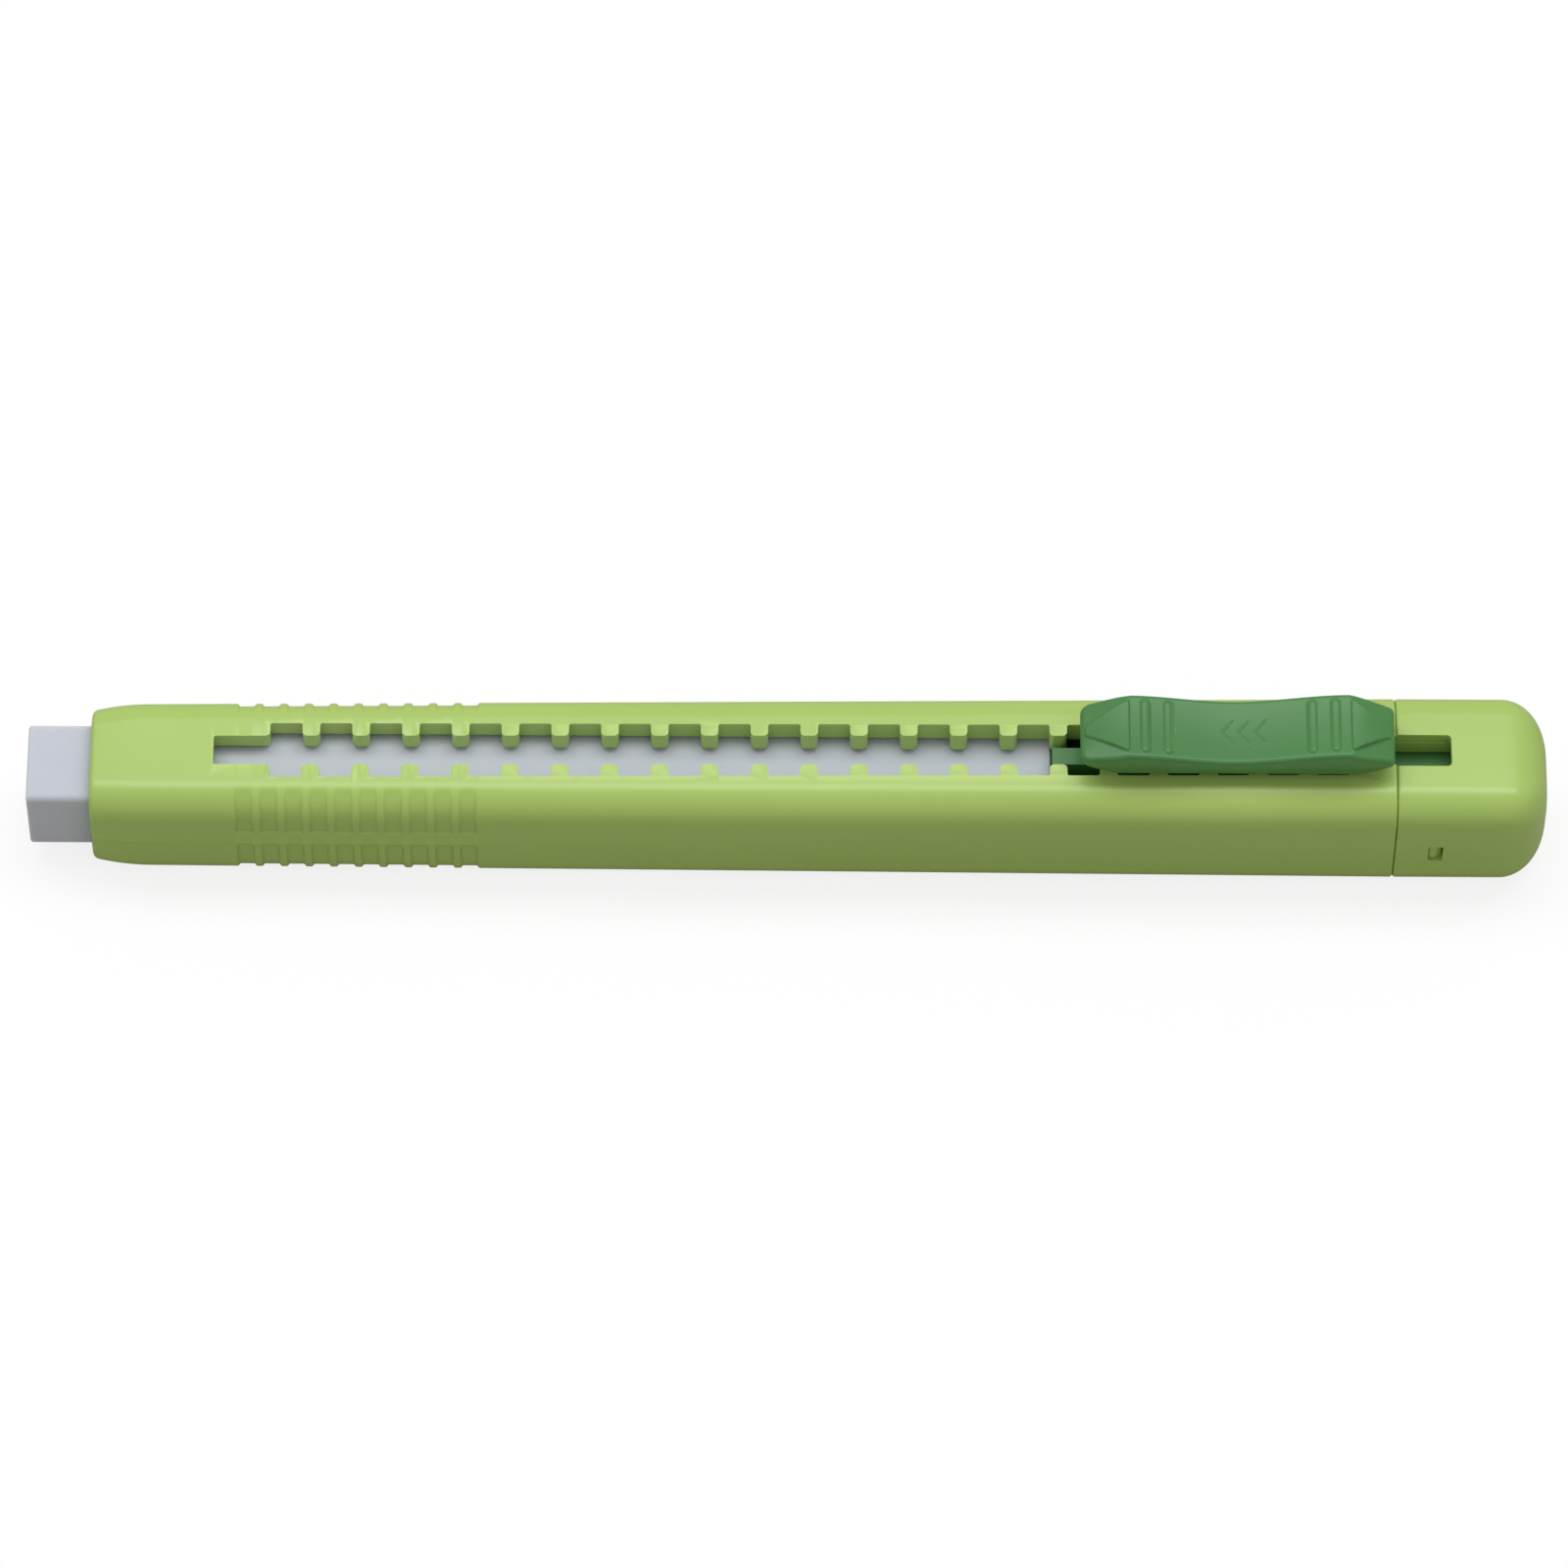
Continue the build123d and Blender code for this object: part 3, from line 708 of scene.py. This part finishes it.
corner_turns = [1 - cos(radians(6 * step)) for step in range(16)]
middle_count = 380
middle_length = pad_length - sum(pad_corner_radii)
stations = [pad_corner_radii[0] * turn for turn in corner_turns]
stations += [pad_corner_radii[0] + middle_length * step / middle_count for step in range(1, middle_count)]
stations += [pad_length - pad_corner_radii[1] * turn for turn in reversed(corner_turns)]
core_start, core_end = pad_end_length, pad_length - pad_end_length
edge_places = [pad_edge_radius * (1 - sin(radians(90 * step / 8))) for step in range(8, 0, -1)]
flat_count = 84
rings = []
for u in stations:
    width = pad_half_width(u)
    flat = width - pad_edge_radius
    across = [-(width - place) for place in edge_places]
    across += [-flat + 2 * flat * step / flat_count for step in range(flat_count + 1)]
    across += [width - place for place in reversed(edge_places)]
    crown = [(v, pad_face_z + pad_height(u, v)) for v in across]
    rim = pad_face_z + pad_rim_height + pad_end_rise * end_share(u)
    hollow = rim + (pad_core_depth if core_start < u < core_end else 0)
    wall = width - pad_wall
    under = [(width, rim + pad_rim_softness), (width - pad_rim_softness, rim), (wall, rim), (wall, hollow)]
    under += [(-y, z) for y, z in reversed(under)]
    rings.append([Vector((button_low.x + u, y, z)) for y, z in crown + under])
pad = skin("thumb_pad", rings)
for face in pad.data.polygons:
    face.use_smooth = True
normals = pad.modifiers.new("flat faces", "WEIGHTED_NORMAL")
normals.weight = 50
pad.data.materials.append(mid_green)
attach(pad, "button_body")
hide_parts("thumb_button")

lock_notch = 17
lock_notch_x = first_notch_x + lock_notch * notch_pitch
lock_lug_length = 2.0 * mm
neck_length = 17.4 * mm
neck_clearance = 0.18 * mm
neck_rise = 0.73 * mm
stem_gap = 0.4 * mm
neck_front_x = lock_notch_x - lock_lug_length / 2
neck_rear_x = neck_front_x + neck_length
stem_front_x = lock_notch_x + lock_lug_length / 2 + stem_gap
neck_half_width = slot_width / 2 - neck_clearance
neck_top_z = pad_face_z + pad_rim_height + pad_core_depth
lug_top_z = bore_low + bore_height + neck_rise
foot_length = 12 * mm
foot_width = 4.0 * mm
foot_clearance = 0.1 * mm
foot_corner_radius = 0.3 * mm
button_edge_break = 0.08 * mm
foot_top_z = bore_low + bore_height - foot_clearance
foot_middle_x = (stem_front_x + neck_rear_x) / 2
side_view = [
    (neck_front_x, lug_top_z),
    (stem_front_x, lug_top_z),
    (stem_front_x, button_low.z),
    (neck_rear_x, button_low.z),
    (neck_rear_x, neck_top_z),
    (neck_front_x, neck_top_z),
]
neck = prism("button_neck", side_view, -neck_half_width, neck_half_width, axis="Y")
foot_plan = rounded([
    (foot_middle_x - foot_length / 2, -foot_width / 2, foot_corner_radius),
    (foot_middle_x + foot_length / 2, -foot_width / 2, foot_corner_radius),
    (foot_middle_x + foot_length / 2, foot_width / 2, foot_corner_radius),
    (foot_middle_x - foot_length / 2, foot_width / 2, foot_corner_radius),
])
foot = prism("button_foot", foot_plan, button_low.z, foot_top_z)
for piece in (neck, foot):
    soft_edges(piece, button_edge_break)
    piece.data.materials.append(mid_green)
    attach(piece, "button_body")
    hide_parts("thumb_button")

# Lock leaf: a thin mid green moulding that stands on the tray at its back and carries the lock lug at its front.
# In the stick it bends at the back when the button is pressed, so that the lug leaves its notch; here it is built
# straight.
leaf_low, leaf_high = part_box("lock_spring")
leaf_thickness = 0.55 * mm
leaf_half_width = 1.7 * mm
leaf_drop = 1.1 * mm
leaf_top_z = foot_top_z - leaf_drop
leaf_steps = 44
lock_lug_corner_radius = 0.1 * mm
leaf_length = leaf_high.x - leaf_low.x
top_edge = [(leaf_low.x + leaf_length * step / leaf_steps, leaf_top_z) for step in range(leaf_steps + 1)]
inner_x = leaf_high.x - leaf_thickness
lower_edge = [(x, leaf_top_z - leaf_thickness) for x, z in reversed(top_edge) if x < inner_x - leaf_thickness]
leaf_outline = top_edge + [
    (leaf_high.x, leaf_low.z),
    (inner_x, leaf_low.z),
    (inner_x, leaf_top_z - leaf_thickness),
] + lower_edge
leaf = prism("lock_leaf", leaf_outline, -leaf_half_width, leaf_half_width, axis="Y")
lug_half_width = (leaf_high.y - leaf_low.y) / 2
lug_plan = rounded([
    (leaf_low.x, -lug_half_width, lock_lug_corner_radius),
    (leaf_low.x + lock_lug_length, -lug_half_width, lock_lug_corner_radius),
    (leaf_low.x + lock_lug_length, lug_half_width, lock_lug_corner_radius),
    (leaf_low.x, lug_half_width, lock_lug_corner_radius),
])
lock_lug = prism("lock_lug", lug_plan, leaf_top_z - leaf_thickness, leaf_high.z)
shape = bmesh.new()
shape.from_mesh(leaf.data)
shape.from_mesh(lock_lug.data)
shape.to_mesh(leaf.data)
shape.free()
bpy.data.objects.remove(lock_lug)
leaf.data.materials.append(mid_green)
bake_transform(leaf)
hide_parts("lock_spring")

# Table: plain white paper that takes a soft shadow. To the camera it is nearly white; to the stick it is a grey
# card, so that the near side isn't lit from below.
floor_reach = 3
floor_drop = 0.02 * mm
floor_corners = [(floor_reach * x, floor_reach * y, 0) for x, y in ((-1, -1), (1, -1), (1, 1), (-1, 1))]
floor_mesh = bpy.data.meshes.new("table_top")
floor_mesh.from_pydata(floor_corners, [], [(0, 1, 2, 3)])
floor = bpy.data.objects.new("table_top", floor_mesh)
floor.location.z = -floor_drop
bpy.context.scene.collection.objects.link(floor)
paper = bpy.data.materials.new("white_paper")
paper.use_nodes = True
nodes, links = paper.node_tree.nodes, paper.node_tree.links
nodes.clear()
output = nodes.new("ShaderNodeOutputMaterial")
rays = nodes.new("ShaderNodeLightPath")
seen = nodes.new("ShaderNodeMath")
seen.operation = "MAXIMUM"
dim = nodes.new("ShaderNodeMath")
dim.operation = "MULTIPLY"
dim.inputs[1].default_value = 0.06
links.new(rays.outputs["Is Glossy Ray"], dim.inputs[0])
links.new(rays.outputs["Is Camera Ray"], seen.inputs[0])
links.new(dim.outputs[0], seen.inputs[1])
grey = nodes.new("ShaderNodeBsdfDiffuse")
grey.inputs["Color"].default_value = (0.38, 0.36, 0.3, 1)
white = nodes.new("ShaderNodeBsdfDiffuse")
white.inputs["Color"].default_value = (0.9, 0.9, 0.9, 1)
glow = nodes.new("ShaderNodeEmission")
glow.inputs["Strength"].default_value = 1
page = nodes.new("ShaderNodeMixShader")
page.inputs["Fac"].default_value = 0.82
links.new(white.outputs[0], page.inputs[1])
links.new(glow.outputs[0], page.inputs[2])
both = nodes.new("ShaderNodeMixShader")
links.new(seen.outputs[0], both.inputs["Fac"])
links.new(grey.outputs[0], both.inputs[1])
links.new(page.outputs[0], both.inputs[2])
links.new(both.outputs[0], output.inputs["Surface"])
floor_mesh.materials.append(paper)

# Light: one wide soft lamp above and beyond the stick, and an even pale sky.
world = bpy.data.worlds.new("sky")
world.use_nodes = True
world.node_tree.nodes["Background"].inputs["Color"].default_value = (1, 1, 1, 1)
world.node_tree.nodes["Background"].inputs["Strength"].default_value = 0.62
bpy.context.scene.world = world
lamp_data = bpy.data.lights.new("window_light", "AREA")
lamp_data.shape = "RECTANGLE"
lamp_data.size = 0.9
lamp_data.size_y = 0.24
lamp_data.energy = 2.7
lamp = bpy.data.objects.new("window_light", lamp_data)
lamp.location = (0, 0.17, 0.57)
lamp.rotation_euler = (-Vector(lamp.location)).to_track_quat("-Z", "Y").to_euler()
bpy.context.scene.collection.objects.link(lamp)

# Camera: a long lens above the near side, as in the photograph, with the stick level across the frame.
camera_elevation = 59
camera_distance = 800 * mm
aim = Vector((-0.215 * mm, 0.22 * mm, 5.49 * mm))
camera_data = bpy.data.cameras.new("camera")
camera_data.lens = 235.25
camera_data.sensor_width = 36
camera_data.clip_end = 10
camera = bpy.data.objects.new("camera", camera_data)
away = Vector((0, -cos(radians(camera_elevation)), sin(radians(camera_elevation))))
camera.location = aim + away * camera_distance
camera_roll = 0.305
facing = (-away).to_track_quat("-Z", "Y").to_matrix()
camera.rotation_euler = (facing @ Matrix.Rotation(radians(camera_roll), 3, "Z")).to_euler()
bpy.context.scene.collection.objects.link(camera)
bpy.context.scene.camera = camera
bpy.context.scene.view_settings.view_transform = "Standard"
